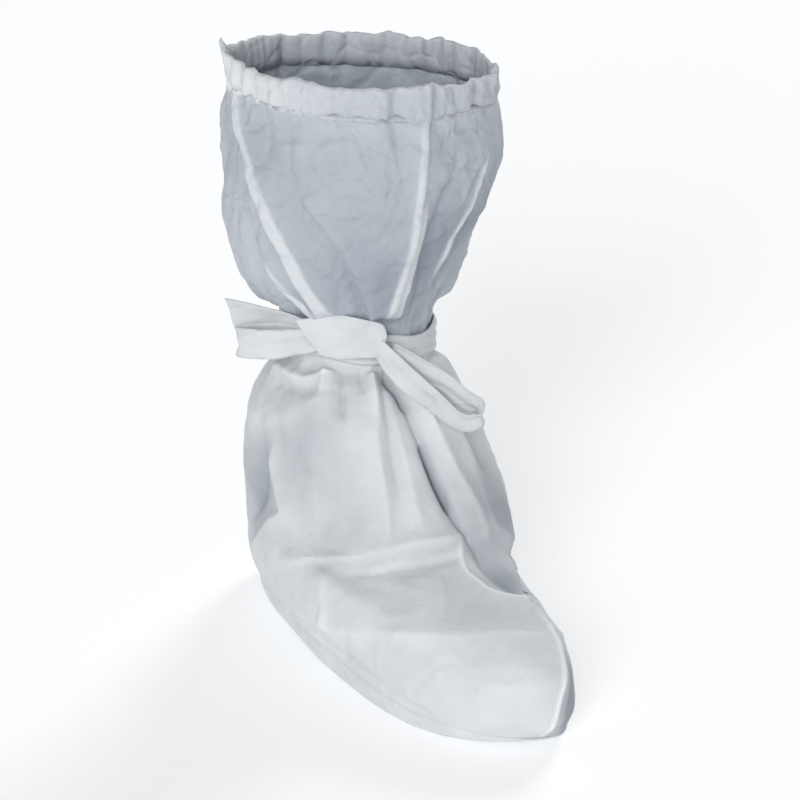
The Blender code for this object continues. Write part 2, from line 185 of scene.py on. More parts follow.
# %% Sections of the upper, and the surface through them
# rear, mid and fore are half widths at 15, 50 and 85 % of the length, on the inner and outer side.
# back_r, tip_in and tip_out are the outline's radii at its two ends. All sizes are in mm.
SECTION_COLUMNS = (
    "name", "front_x", "front_y", "front_z", "back_x", "back_z", "back_r",
    "in_rear", "in_mid", "in_fore", "out_rear", "out_mid", "out_fore", "tip_in", "tip_out",
)
SECTIONS = (
    ("sole_edge", 235, -16, 6, -84, 11, 42, 46, 67, 57, 42, 58, 32, 34, 6),
    ("side_low", 244, -15, 22, -90, 26, 44, 52, 70, 59, 46, 62, 32, 34, 5),
    ("toe_face", 243, -14, 42, -91, 40, 44, 54, 70, 58, 47, 62, 27, 32, 4),
    ("toe_top", 222, -10, 62, -90, 54, 44, 54, 69, 52, 48, 61, 18, 26, 3),
    ("toe_crease", 182, -1, 67, -88, 66, 46, 54, 67, 46, 49, 61, 22, 22, 4),
    ("vamp_dip", 146, 3, 72, -85, 78, 48, 54, 66, 45, 50, 62, 36, 24, 10),
    ("instep", 114, 3, 87, -82, 92, 50, 54, 65, 46, 52, 64, 50, 30, 25),
    ("blouse", 95, 2, 112, -79, 112, 54, 52, 64, 48, 53, 62, 49, 40, 38),
    ("puff", 78, 0, 142, -73, 140, 54, 47, 62, 49, 52, 61, 46, 50, 44),
    ("below_tie", 58, 0, 166, -58, 166, 52, 36, 53, 41, 41, 53, 39, 54, 52),
    ("tie_low", 46.6, 0, 177, -46.6, 177, 46, 33, 46.5, 33, 33, 46.5, 33, 46, 46),
    ("tie_high", 46.6, 0, 203, -46.6, 203, 46, 33, 46.5, 33, 33, 46.5, 33, 46, 46),
    ("above_tie", 52, 0, 214, -55, 214, 52, 42, 62, 41, 41, 58, 39, 50, 50),
    ("calf_low", 61, 0, 236, -66, 236, 64, 51, 75, 49, 49, 69, 47, 56, 58),
    ("calf", 77, 0, 270, -80, 270, 76, 56, 81, 57, 57, 79, 57, 72, 74),
    ("calf_high", 90, 0, 308, -86, 311, 82, 55, 77, 60, 61, 86, 63, 86, 88),
    ("collar", 84, 0, 342, -81, 346, 80, 54, 74, 57, 59, 83, 60, 82, 84),
)
LAST = len(SECTIONS) - 1
STATION = {row[0]: float(k) for k, row in enumerate(SECTIONS)}
TIE_STATION = (STATION["tie_low"] + STATION["tie_high"]) / 2
EDGE_LIFT, EDGE_LIFT_TO = 6.0, 1.6  # the sole's margin is taller along the waist, and up to which station
NEAR_ANGLE, NEAR_STATION = 0.5, 0.05  # steps to either side that give a direction of travel
TIE_TILT, TIE_TILT_TO, TIE_TILT_SPREAD = 5.0, 125.0, 1.2  # the tie is higher towards the inner back
HEM_TILT, HEM_TILT_TO, HEM_TILT_FROM = 8.0, 50.0, 13.0  # the hem is higher towards the inner front


def through_five(q, values):
    """A smooth run (Catmull-Rom) through five values at q = 0, 1/4, 1/2, 3/4 and 1."""
    knots = np.stack(np.broadcast_arrays(values[0], *values, values[-1]))
    k = np.broadcast_to(np.clip((q * 4).astype(int), 0, 3), knots.shape[1:])
    t = q * 4 - k
    a, b, c, d = (np.take_along_axis(knots, (k + j)[None], 0)[0] for j in range(4))
    return b + 0.5 * ((c - a) * t + (2 * a - 5 * b + 4 * c - d) * t**2 + (3 * b - a - 3 * c + d) * t**3)


def tie_tilt(angle):
    """How much higher the tie is at an angle than at its middle: a cosine round the shaft."""
    return TIE_TILT * np.cos(np.radians(angle - TIE_TILT_TO))


def plain_upper(angle, at):
    """Points of the upper without folds, at an angle round it and a station up it.

    Angle 0 is the front seam, 90 the inner side and 180 the back seam; a station is a row of SECTIONS.
    Along a section x runs as a cosine from back to front, and y is a sine times the half width there."""
    row = {
        name: smooth(at, np.arange(len(SECTIONS)), [section[k] for section in SECTIONS])
        for k, name in enumerate(SECTION_COLUMNS) if k
    }
    turn = angle % 360
    q = np.abs(turn - 180) / 180
    length = row["front_x"] - row["back_x"]
    quarter = np.sin(np.pi / 4)
    back = np.sqrt(row["back_r"] * length / 2)
    half = {}
    for side in ("in", "out"):
        tip = np.sqrt(row["tip_" + side] * length / 2)
        rear, mid, fore = row[side + "_rear"] / quarter, row[side + "_mid"], row[side + "_fore"] / quarter
        half[side] = through_five(q, (back, rear, mid, fore, tip))
    along = (1 - np.cos(np.pi * q)) / 2
    across = np.sin(np.pi * q)
    x = row["back_x"] + length * along
    y = row["front_y"] * along + across * np.where(turn <= 180, -half["in"], half["out"])
    lift = EDGE_LIFT * across**2 * np.clip(1 - at / EDGE_LIFT_TO, 0, 1)
    tie_lift = tie_tilt(angle) * np.exp(-(((at - TIE_STATION) / TIE_TILT_SPREAD) ** 2))
    hem_lift = HEM_TILT * np.cos(np.radians(angle - HEM_TILT_TO))
    lift = lift + tie_lift + hem_lift * smooth_step((at - HEM_TILT_FROM) / (LAST - HEM_TILT_FROM))
    z = row["back_z"] + (row["front_z"] - row["back_z"]) * along + lift
    return np.stack(np.broadcast_arrays(x, y, z), -1)


def outward(angle, at):
    """Unit normals of the plain upper: the cross product of its two directions of travel."""
    round_way = plain_upper(angle + NEAR_ANGLE, at) - plain_upper(angle - NEAR_ANGLE, at)
    low, high = np.clip(at - NEAR_STATION, 0, LAST), np.clip(at + NEAR_STATION, 0, LAST)
    return unit(np.cross(plain_upper(angle, high) - plain_upper(angle, low), round_way))


collar_front = plain_upper(np.array(0.0), np.array(float(LAST)))
print(len(SECTIONS), "sections, the front of the collar at", np.round(collar_front, 1), "mm")

# %% [markdown]
# ## The folds
# The cover was packed flat, so it carries sharp creases, and the tie draws it into pleats that fan out above
# and below. Each fold here is a line of a few given stops. Across the line, the cloth rises to a crest
# or sinks to a trough and falls off on either side by its own flank, so a short flank beside a long one
# makes the overlapping step that a pleat shows.

# %% The table of folds
# Columns: name, stops of the line as (angle, station) from low to high, height of the crest (below 0 for a
# trough), half width of its flat top, left and right flank as seen from outside going along the stops, nose.
FOLDS = (
    ("shaft inner strip",
     ((46, 11.4), (53, 12.5), (63, 13.6), (76, 14.3), (97, 15.1), (109, 16), (113, 16.5)),
     3, 3.4, 4.5, 2.6, 1),
    ("shaft inner hollow", ((50, 13.4), (64, 14.5), (76, 15.1), (90, 15.8)), -2, 0, 8, 12, 3),
    ("shaft side slit", ((57, 12), (66, 12.5), (78, 13.1), (90, 14.3), (104, 15.3)), -3.5, 0, 9, 3.5, 1.2),
    ("shaft low strip", ((58, 11.3), (64, 12.2), (72, 12.9), (80, 13.5)), 2, 2, 2, 2, 0.7),
    ("shaft upper wrinkle 1", ((58, 15.84), (40, 15.78), (22, 15.92)), 1.4, 0, 1.6, 3, 0.4),
    ("shaft upper wrinkle 2", ((74, 15.35), (48, 15.47), (34, 15.66)), 1.3, 0, 1.6, 4, 0.4),
    ("shaft upper wrinkle 3", ((42, 15.4), (23, 15.72), (12, 15.82)), 1.4, 0, 3, 1.5, 0.4),
    ("shaft upper wrinkle 4", ((66, 15), (52, 15.12), (36, 15.3)), -1.2, 0, 2, 3, 0.4),
    ("shaft mid crease", ((44, 14.6), (34, 14.9), (24, 14.9)), 1.1, 0, 3, 2, 0.5),
    ("shaft mid wrinkle", ((58, 13.9), (44, 14.3), (30, 14.3)), -1.1, 0, 2, 4, 0.5),
    ("shaft front crease",
     ((25, 11.4), (29, 12.4), (39, 13.6), (49, 14.1), (64, 14.7)), -1.8, 0, 2.2, 1.6, 0.6),
    ("shaft front lap", ((21, 11.4), (25, 12.4), (35, 13.6), (45, 14.1), (60, 14.7)), 1.8, 0, 2.4, 12, 0.8),
    ("shaft front seam",
     ((13, 11.4), (12, 12.3), (9.5, 13.1), (8.5, 13.9), (9.5, 14.75), (7.5, 15.5), (6, 16), (4, 16.5)),
     4, 1.3, 6, 3, 0.8),
    ("shaft seam flat", ((9, 11.4), (8, 12.2), (5.5, 13.1), (6, 13.9), (8, 14.7)), 1.2, 4, 3, 3, 1),
    ("shaft seam facet", ((15, 14.6), (18, 15.3), (20, 16.2)), -1.6, 0, 3, 3, 1),
    ("shaft seam trough",
     ((-4, 11.4), (-8, 12.5), (-5, 13.2), (-2, 13.8), (-3, 14.3), (-5, 14.7), (-8, 15.1), (-14, 15.6)),
     -4.2, 0, 4, 6, 1),
    ("shaft outer lap", ((6, 14.65), (-6, 14.9), (-16, 15.2), (-46, 15.4)), 2, 0, 9, 1.8, 0.6),
    ("shaft outer edge",
     ((-18, 12.5), (-16, 13.4), (-17, 13.8), (-20, 14.2), (-22, 14.6), (-24, 14.95), (-30, 15.25)),
     2.4, 0.3, 1.8, 7, 0.6),
    ("shaft outer wrinkle 1", ((2, 15.3), (-10, 15.7), (-25, 16)), -1.6, 0, 2, 4, 0.6),
    ("shaft outer wrinkle 2", ((-13, 14.2), (-19, 14.95), (-31, 15.23)), 2, 0, 3, 1.5, 0.5),
    ("shaft outer wrinkle 3", ((-2, 15), (-18, 15.3), (-34, 15.7)), 1.6, 0, 1.5, 3, 0.5),
    ("shaft outer wrinkle 4", ((-24, 13.6), (-30, 14.4), (-42, 15)), 1.8, 0, 1.5, 4, 0.5),
    ("shaft outer slit", ((-26, 12.4), (-24, 13.4), (-26, 14.2)), -2.2, 0, 2, 5, 0.7),
    ("shaft low trough", ((-30, 11.4), (-38, 12.4), (-44, 13.1)), -5, 0, 3, 6, 1),
    ("shaft side ridge", ((-54, 11.4), (-62, 12.8), (-72, 13.8), (-86, 16.3)), 4.5, 0, 5, 10, 0.6),
    ("shaft side trough", ((-80, 11.4), (-92, 13), (-98, 14), (-88, 15.2)), -4.5, 0, 4, 8, 0.6),
    ("shaft side lap", ((-104, 13.6), (-96, 14.6), (-104, 16.2)), 3.5, 0, 3, 10, 0.5),
    ("shaft rear ridge", ((-124, 11.4), (-118, 13), (-116, 14.2), (-124, 16.3)), 5, 0, 9, 4, 0.6),
    ("shaft rear trough", ((-146, 11.4), (-150, 13.2), (-144, 14.8)), -4.5, 0, 9, 4, 0.6),
    ("shaft rear crease", ((-160, 12), (-158, 13.4), (-146, 15.2)), 3.5, 0, 3, 10, 0.5),
    ("shaft back seam", ((180, 11.3), (180, 14), (180, 16.6)), 4, 0.8, 8, 3, 0.6),
    ("shaft back trough", ((154, 11.4), (150, 13.4), (143, 15.4)), -4.5, 0, 4, 8, 0.6),
    ("shaft back ridge", ((116, 11.4), (122, 13.2), (128, 14.4), (138, 16.3)), 5, 0, 4, 9, 0.6),
    ("shaft back crease", ((136, 12), (132, 13.6), (120, 15.4)), -3, 0, 3, 6, 0.6),
    ("ankle strip",
     ((42, 5.7), (34, 6.7), (29, 7.8), (25, 8.5), (22, 9.5), (21, 10.7)), 3.2, 0, 14, 2.2, 0.7),
    ("ankle first trough", ((29, 6.6), (24, 7.7), (20, 8.6), (17, 9.6), (16, 10.7)), -3, 0, 2.4, 6, 0.8),
    ("ankle notch", ((42.5, 8.3), (43, 8.7), (43.5, 9.1), (44.5, 9.9), (46, 10.7)), -3.4, 0, 4, 2.2, 0.7),
    ("ankle gather left", ((58, 8.9), (57, 9.4), (58, 10), (59, 10.7)), 2.5, 0, 2.5, 3, 0.8),
    ("ankle gather right", ((30, 8.9), (31, 9.5), (31, 10.7)), -2.2, 0, 2, 3, 0.7),
    ("ankle second ridge", ((24, 6), (20, 7), (17, 8), (16, 9.2), (16, 10.7)), 2.4, 0, 5, 4, 1),
    ("ankle second trough",
     ((-2, 5.5), (1, 6), (4, 6.6), (6, 7.1), (6, 7.6), (7, 8.2), (8, 8.8), (12, 9.6), (13, 10.7)),
     -6, 0, 2.6, 2.6, 0.7),
    ("ankle front ridge",
     ((-15, 5.6), (-14, 6.3), (-8, 7.3), (-4, 8.2), (1, 9.4), (5, 10.7)), 5, 0, 6, 4, 1),
    ("ankle outer edge", ((-22, 5.5), (-24, 6.5), (-23, 7.7), (-17, 8.8), (-11, 10.7)), 2.4, 0, 5, 3, 1),
    ("ankle deep slit", ((4, 6.4), (5, 6.9), (6, 7.4), (7, 7.9)), -9, 0, 1.5, 2.4, 0.4),
    ("ankle upper slit", ((13, 9.9), (10.5, 9.3), (8.5, 8.9), (7.5, 8.4)), -7, 0, 1.4, 2.4, 0.4),
    ("ankle outer wrinkle", ((-8, 5.8), (-18, 5.9), (-30, 5.5), (-38, 5.1)), 1.6, 0, 2, 4, 0.6),
    ("ankle outer trough",
     ((-36, 6.6), (-34, 7.3), (-29, 8.1), (-22, 9.2), (-19, 10.7)), -4, 0, 4, 8, 1.5),
    ("ankle outer ridge", ((-62, 5.2), (-50, 7.4), (-42, 8.6), (-38, 10.7)), 3.5, 0, 8, 4, 0.6),
    ("ankle side trough", ((-92, 5.4), (-78, 7.6), (-66, 10.7)), -5, 0, 4, 9, 0.6),
    ("ankle side ridge", ((-124, 4), (-110, 6.2), (-102, 7.8), (-96, 10.7)), 5, 0, 9, 4, 0.6),
    ("ankle rear trough", ((-142, 6.4), (-134, 8.2), (-128, 10.7)), -5, 0, 4, 8, 0.6),
    ("ankle rear ridge", ((-160, 5), (-156, 7.4), (-150, 10.7)), 4, 0, 4, 9, 0.6),
    ("ankle puff", ((112, 8.8), (97, 9.15), (75, 9.15), (61, 9.5), (46, 10)), 4, 0, 3, 3.5, 1),
    ("ankle puff slit", ((104, 8.5), (92, 8.7), (81, 8.75), (70, 8.85), (56, 9.2)), -3.2, 0, 2, 3.5, 0.8),
    ("ankle inner lap", ((124, 7.2), (110, 7.6), (90, 8), (68, 8.5), (54, 9.1)), 2.2, 0, 14, 4, 1.2),
    ("ankle inner soft", ((77, 5.2), (69, 6.8), (64, 7.8)), 1.6, 0, 6, 8, 2),
    ("heel ridge",
     ((132, 1.6), (120, 3), (104, 4.9), (93, 5.8), (94, 6.8), (91, 7.8)), 5.5, 0, 3, 14, 0.9),
    ("heel hollow", ((136, 2.8), (120, 4.6), (108, 5.8), (105, 6.8), (106, 7.9)), -6, 0, 14, 5, 2),
    ("heel back seam", ((180, 0.6), (180, 5), (180, 10.7)), 3.5, 0.8, 6, 4, 0.6),
    ("heel rear trough", ((158, 4), (154, 6.8), (150, 10.7)), -5, 0, 5, 9, 0.6),
    ("heel low crease", ((176, 3.2), (150, 2.6), (128, 1.4)), -2.5, 0, 3, 6, 0.6),
    ("instep lip",
     ((128, 1.2), (104, 2.9), (82, 4.15), (49, 5.5), (28, 5.86), (6, 5.95), (-2, 6)),
     3.4, 0, 10, 1.5, 0.4),
    ("instep recess", ((82, 3.6), (60, 4.6), (44, 5.15), (28, 5.4), (6, 5.55)), -3.8, 0, 2, 12, 0.9),
    ("waist upright", ((88, 1.3), (88, 1.9), (88, 2.7), (84, 3.9)), 2.8, 0, 9, 2.2, 0.7),
    ("vamp fold", ((52, 3.1), (48, 3.7), (42, 4.45), (34, 5.2)), 1.9, 0, 16, 2.4, 0.6),
    ("vamp shade", ((44, 3.2), (39, 3.9), (32, 4.7), (26, 5.3)), -2, 0, 2.2, 9, 0.9),
    ("vamp seam",
     ((-12, 3.95), (2, 4.1), (16, 4.45), (17, 5), (13, 5.5), (3, 6)), 4.5, 0.3, 10, 1.8, 0.6),
    ("vamp hollow", ((-16, 4.1), (-6, 4.4), (0, 4.8), (1, 5.3), (-8, 6)), -6, 0, 4, 10, 2),
    ("toe edge",
     ((116, 0.6), (100, 1.2), (81, 1.96), (66, 2.5), (51, 2.81), (35, 3.04), (18, 3.17), (-4, 3.15)),
     4.2, 0, 14, 16, 0.4),
    ("toe edge line", ((66, 2.5), (51, 2.81), (35, 3.04), (18, 3.17), (2, 3.16)), 0.9, 0, 1.6, 5, 0.4),
    ("toe seam", ((9, -0.4), (8.5, 0.5), (5, 1.8), (2, 2.4), (-1, 3.1), (-4, 3.9)), 2.8, 0.3, 3, 1.8, 0.6),
    ("toe seam hollow", ((1, -0.4), (0, 0.5), (-4, 1.6), (-8, 2.3), (-12, 2.9)), -2.2, 0, 2.2, 9, 0.8),
    ("toe outer edge", ((-6, 3), (-40, 2.6), (-74, 2)), 2.4, 0, 8, 9, 0.5),
    ("instep outer tuck", ((-30, 4.9), (-60, 4.4), (-104, 3)), -3, 0, 3, 8, 0.6),
    ("instep outer lap", ((-24, 5.3), (-60, 4.9), (-106, 3.6)), 3.5, 0, 12, 3, 0.6),
    ("sole line",
     ((44, 0.1), (50, 0.4), (60, 0.6), (74, 1), (88, 1.05), (101, 0.95), (118, 0.7)),
     -1.6, 0, 1.6, 2.4, 0.5),
)
print(len(FOLDS), "folds, with up to", max(len(fold[1]) for fold in FOLDS), "stops")

# %% [markdown]
# ## How a fold lifts the cloth
# The stops of a fold are joined by a smooth line on the plain form. Each point near that line goes out along
# its own normal, by an amount that depends only on its distance from the line and on the side it lies on,
# so folds that cross are simply added up.

# %% A fold's line and its height
LINE_STEPS = 6  # short straight steps between two stops
FADE_STEPS = 6.0  # a fold fades in over this part of its length at each end
REACH = 5.0  # flanks within which a fold is felt
PAST_EDGE = 30.0  # mm for each station past the upper's edges
WHITE_EDGE = 2.2  # mm over which the white of a flat top ends


def fold_line(stops):
    """Points of a smooth line through a fold's stops, on the plain upper and straight on past its edges."""
    stops = np.array(stops, float)
    number = np.arange(len(stops))
    fine = np.linspace(0, len(stops) - 1, LINE_STEPS * (len(stops) - 1) + 1)
    at = smooth(fine, number, stops[:, 1])
    line = plain_upper(smooth(fine, number, stops[:, 0]), np.clip(at, 0, LAST))
    line[:, 2] += PAST_EDGE * (at - np.clip(at, 0, LAST))
    return line


def fold_height(points, normals, fold):
    """How far one fold lifts each point, and how much it whitens it along a flat top.

    The height is height * exp(-(sqrt(d * d + nose * nose) - nose) / flank), where d is the distance to the
    fold's line beyond its flat top, and the flank is the left or the right one, by the side of the line."""
    _, stops, height, top, left, right, nose = fold
    line = fold_line(stops)
    way = np.diff(line, axis=0)
    lift, white = np.zeros(len(points)), np.zeros(len(points))
    reach = REACH * max(left, right) + top
    near = ((points > line.min(0) - reach) & (points < line.max(0) + reach)).all(1)
    to_point = points[near, None] - line[:-1]
    share = np.clip((to_point * way).sum(-1) / (way**2).sum(-1), 0, 1)
    away = to_point - share[..., None] * way
    distance = np.linalg.norm(away, axis=-1)
    nearest = distance.argmin(1)
    pick = np.arange(len(nearest)), nearest
    on_left = (np.cross(way[nearest], away[pick]) * normals[near]).sum(-1) > 0
    place = (nearest + share[pick]) / len(way)
    fade = smooth_step(np.minimum(place, 1 - place) * FADE_STEPS)
    d = np.maximum(distance[pick] - top, 0)
    fall = (np.sqrt(d**2 + nose**2) - nose) / np.where(on_left, left, right)
    lift[near] = height * fade * np.exp(-fall)
    white[near] = (top > 0) * fade * smooth_step(1 - d / WHITE_EDGE)
    return lift, white


print("a line through", len(FOLDS[0][1]), "stops has", len(fold_line(FOLDS[0][1])), "points")

# %% [markdown]
# ## Gathers, pleats and crumples
# What repeats isn't placed by hand. The pleats at the tie and under the hem are sums of sharp waves round
# the shaft. The small handling creases are sine waves in chance directions, with a fixed seed for each
# size, so every run draws the same ones.

# %% Gathers, pleats and crumples
# Columns of both tables of waves: count round the shaft, share, shift.
GATHER_WAVES = ((13, 0.52, 0.4), (21, 0.34, 1.9), (33, 0.14, 2.6))
HEM_PLEAT_WAVES = ((22, 0.5, 0.7), (35, 0.5, 2.1))
WAVE_MEAN = 0.4  # about the mean of 1 - |sin|
GATHER_DEPTH, GATHER_REACH, TIE_HALF = 8.0, 17.0, 9.0
HEM_PLEAT_DEPTH, HEM_PLEAT_REACH = 2.0, 0.4  # the reach is in stations
HEM_PLEAT_SLANT = 1.6  # radians of turn for each station
CRUMPLES = ((34.0, 0.5, 3), (15.0, 0.22, 5), (8.0, 0.09, 7))  # size of the crumples, their height, seed
WAVES_IN_CRUMPLE, CRUMPLE_MEAN = 9, 0.6
CRUMPLE_LENGTHS = (0.7, 1.6)  # of the waves, as shares of the size
CRUMPLE_SHIFT = 6.28  # the largest shift of a wave, about a full turn


def sharp_waves(angle, waves, slant=0.0):
    """A sum of waves, each 1 - |sin|, less their mean. Unlike counts make every pleat different."""
    turn = np.radians(angle)
    total = 0.0
    for count, share, shift in waves:
        total = total + share * (1 - np.abs(np.sin(turn * count / 2 + shift + slant)))
    return total - WAVE_MEAN


def gathers(angle, height):
    """Pleats that the tie draws in: sharp waves that die out up and down from it by an exponential."""
    away = np.maximum(np.abs(height - TIE_HEIGHT - tie_tilt(angle)) - TIE_HALF, 0)
    return GATHER_DEPTH * sharp_waves(angle, GATHER_WAVES) * np.exp(-away / GATHER_REACH)


def hem_pleats(angle, at):
    """Small slanting pleats that the elastic hem draws in: such waves, dying out down from the collar."""
    below = LAST - at
    waves = sharp_waves(angle, HEM_PLEAT_WAVES, HEM_PLEAT_SLANT * below)
    return HEM_PLEAT_DEPTH * waves * np.exp(-below / HEM_PLEAT_REACH)


def crumple(points, layers):
    """Small handling creases: the size of a sum of sine waves in chance directions, a V at its zeros."""
    total = 0.0
    for size, height, seed in layers:
        chance = np.random.default_rng(seed)
        ways = unit(chance.normal(size=(WAVES_IN_CRUMPLE, 3)))
        ways /= size * chance.uniform(*CRUMPLE_LENGTHS, (WAVES_IN_CRUMPLE, 1))
        shifts = chance.uniform(0, CRUMPLE_SHIFT, WAVES_IN_CRUMPLE)
        waves = np.sin(2 * np.pi * (points @ ways.T) + shifts)
        total = total + height * (np.abs(waves.sum(-1)) / np.sqrt(WAVES_IN_CRUMPLE) - CRUMPLE_MEAN)
    return total


print("the front seam's gather is", round(float(gathers(np.array(0.0), TIE_HEIGHT)), 2), "mm high")

# %% [markdown]
# ## The folded form
# All folds, pleats and crumples are added up and lift the plain form. The same sum sets a painted shade and
# light:
# the colour is darker where the folds sink and lighter where they rise, partly also the dark clothes seen
# through the thin film, and whiter where a fold doubles it. Both go along as a number for each point, for
# the materials to read.

# %% The folded upper
HELD, HELD_SOFT = 0.44, 0.35  # stations from the tie's middle that the band holds flat
GATHER_HELD = 0.25  # share of the gathers that stays under the band
EDGE_SOFT = 0.7  # stations over which the folds begin above the sole
FULL_SHADE_LIFT, FULL_LIGHT_LIFT = -20.0, 9.0  # the painted shade is full where the folds are lower than the first, the painted light above the second
HEM_LIGHTER = 0.5  # how much lighter the painted colour is just under the hem
# Share of the crumples that the cloth shows, at stations: it is taut on the toe wall and slack at the shaft.
SLACK_STATIONS, SLACK_SHARES = (0, 5.0, 7.0, 11.0, 12.5, 16.0), (0.5, 0.5, 1.0, 1.0, 1.7, 2.0)
# Patches of painted shade, where the film turns away from the light and lies in shade, partly also the dark
# shoe and trousers seen through it; a strength below 0 paints a lighter patch. Columns: name, angle,
# station, radius, strength.
PAINTED_SHADE_PATCHES = (
    ("toe seam low", -9, 0.4, 12, 0.6), ("toe seam", -10, 1.2, 13, 0.6),
    ("toe seam high", -13, 2.1, 13, 0.45), ("heel side", 114, 5.2, 36, 0.4),
    ("outer ankle", -34, 6.0, 36, 0.6),
    ("inner ankle", 76, 7.6, 34, 0.3), ("instep", 55, 6.2, 30, 0.22), ("outer shaft", -18, 13.8, 30, 0.55),
    ("vamp", 20, 4.0, 22, 0.12), ("recess", 62, 4.0, 24, -0.3), ("vamp hollow", -6, 4.9, 16, 0.4),
    ("outer shaft edge", -52, 14.2, 28, 0.6), ("shaft low", 6, 12.6, 26, 0.4),
    ("shaft front low", 26, 13.2, 34, 0.25),
    ("inner shaft", 104, 13.6, 36, -0.5),
)


def folded_upper(angle, at):
    """Points of the folded upper, their painted light and shade, and where a fold doubles it.

    Each point goes out along its normal by the sum of all folds, pleats and crumples there."""
    shape = angle.shape
    plain = plain_upper(angle, at).reshape(-1, 3)
    normals = outward(angle, at).reshape(-1, 3)
    angle, at = angle.ravel(), at.ravel()
    lift, doubled = np.zeros(len(plain)), np.zeros(len(plain))
    for fold in FOLDS:
        rise, white = fold_height(plain, normals, fold)
        lift += rise
        doubled = np.maximum(doubled, white)
    free = smooth_step((np.abs(at - TIE_STATION) - HELD) / HELD_SOFT)
    slack = np.interp(at, SLACK_STATIONS, SLACK_SHARES)
    lift = lift * free + gathers(angle, plain[:, 2]) * (GATHER_HELD + (1 - GATHER_HELD) * free)
    lift = lift + hem_pleats(angle, at) + crumple(plain, CRUMPLES) * free * slack
    lift = lift * smooth_step(at / EDGE_SOFT)
    # Painted shade and light: the colour darkens where the folds sink and lightens where they rise, partly
    # also the dark clothes seen through the film.
    painted_light = np.clip((lift - FULL_SHADE_LIFT) / (FULL_LIGHT_LIFT - FULL_SHADE_LIFT), 0, 1)
    painted_light += HEM_LIGHTER * np.exp(-(LAST - at) / HEM_PLEAT_REACH)
    for _, patch_angle, patch_at, radius, strength in PAINTED_SHADE_PATCHES:
        middle_point = plain_upper(np.array(float(patch_angle)), np.array(float(patch_at)))
        painted_light -= strength * np.exp(-(((plain - middle_point) / radius) ** 2).sum(1))
    return (plain + normals * lift[:, None]).reshape(*shape, 3), painted_light, doubled * free


print(len(PAINTED_SHADE_PATCHES), "patches of painted shade")

# %% [markdown]
# ## The upper
# On the real cover the upper runs from the sole to the hem in one length. The tie band hides a stretch of
# it, so here the foot and the shaft are two surfaces that meet under the band, and each can have a fine
# grid. Points stand closer together on the inner front, where the sharpest creases are.

# %% Foot and shaft of the upper
LAMINATE = 0.4  # wall
UPPER_COLUMNS, UPPER_ROWS = 300, 160  # of each surface
# Where the columns, and the rows of foot and shaft, change their spacing, and the share that lies before it.
COLUMN_ANGLES, COLUMN_SHARES = (-180, -50, 140, 180), (0, 0.24, 0.92, 1)
FOOT_STATIONS, FOOT_SHARES = (0, 3.0, 6.2, 10.65), (0, 0.28, 0.64, 1)
SHAFT_STATIONS, SHAFT_SHARES = (10.35, 12.4, LAST), (0, 0.38, 1)
TUCK, TUCK_SOFT = 0.9, 0.7  # mm that the shaft's lower end runs inside the foot, stations of its taper


def add_upper_part(name, row_stations, row_shares, tuck):
    """A surface of the folded upper between two stations, with its lower end tucked in by so many mm.

    Rows and columns are spaced by straight runs through a few shares."""
    column_share = np.arange(UPPER_COLUMNS) / UPPER_COLUMNS
    column_angles = np.interp(column_share, COLUMN_SHARES, COLUMN_ANGLES)
    row_at = np.interp(np.linspace(0, 1, UPPER_ROWS), row_shares, row_stations)
    angle, at = np.meshgrid(column_angles, row_at)
    points, painted_light, doubled = folded_upper(angle, at)
    tucked = tuck * (1 - smooth_step((at - row_stations[0]) / TUCK_SOFT))
    points -= outward(angle, at) * tucked[..., None]
    part = add_piece(name, points, grid_quads(UPPER_ROWS, UPPER_COLUMNS, True), LAMINATE)
    set_point_values(part, "painted_light", painted_light)
    set_point_values(part, "doubled", doubled)
    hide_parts("upper")
    return part


foot = add_upper_part("upper_foot", FOOT_STATIONS, FOOT_SHARES, 0.0)
shaft = add_upper_part("upper_shaft", SHAFT_STATIONS, SHAFT_SHARES, TUCK)

# %% [markdown]
# ## The sole
# The sole is a sheet of film cut to the outline of the foot and welded to the upper a finger's width up the
# side, so a narrow margin shows all round. It follows the upper's own lower edge: rings step down and in
# from that edge to the floor, with a low arch and a little toe spring, and strips across close the middle.

# %% Sole
SOLE_FILM, SOLE_COLUMNS = 0.8, 240
ARCH_RISE, ARCH_X, ARCH_HALF, ARCH_POWER = 2.5, 22.0, 46.0, 1.5  # the arch between heel and forefoot
SPRING_RISE, SPRING_X, TOE_X = 5.0, 165.0, 235.0  # the toe spring
HEEL_X, BALL_X = -45.0, 190.0  # ends of the sole's middle line
MIDDLE_Y, MIDDLE_SLANT = -4.0, -0.07  # its place across the foot, and its slant
MIDDLE_NEAR = 0.8  # share of the way to it that an inset may go
# Columns: inset from the margin's edge, share of the margin's height.
SOLE_ROWS = (
    (0.4, 1.25), (-0.9, 1.12), (-1.2, 1), (-0.5, 0.8), (0, 0.55), (0.6, 0.3), (1.8, 0.1), (4, 0),
    (14, 0), (26, 0),
)


def under_sole(x):
    """Height of the sole's underside above the floor, 0 at the heel and under the ball of the foot.

    The arch is a parabola raised to a power, so that it runs out softly, and the spring is a square."""
    arch = ARCH_RISE * np.clip(1 - ((x - ARCH_X) / ARCH_HALF) ** 2, 0, 1) ** ARCH_POWER
    spring = SPRING_RISE * np.clip((x - SPRING_X) / (TOE_X - SPRING_X), 0, 1) ** 2
    return arch + spring


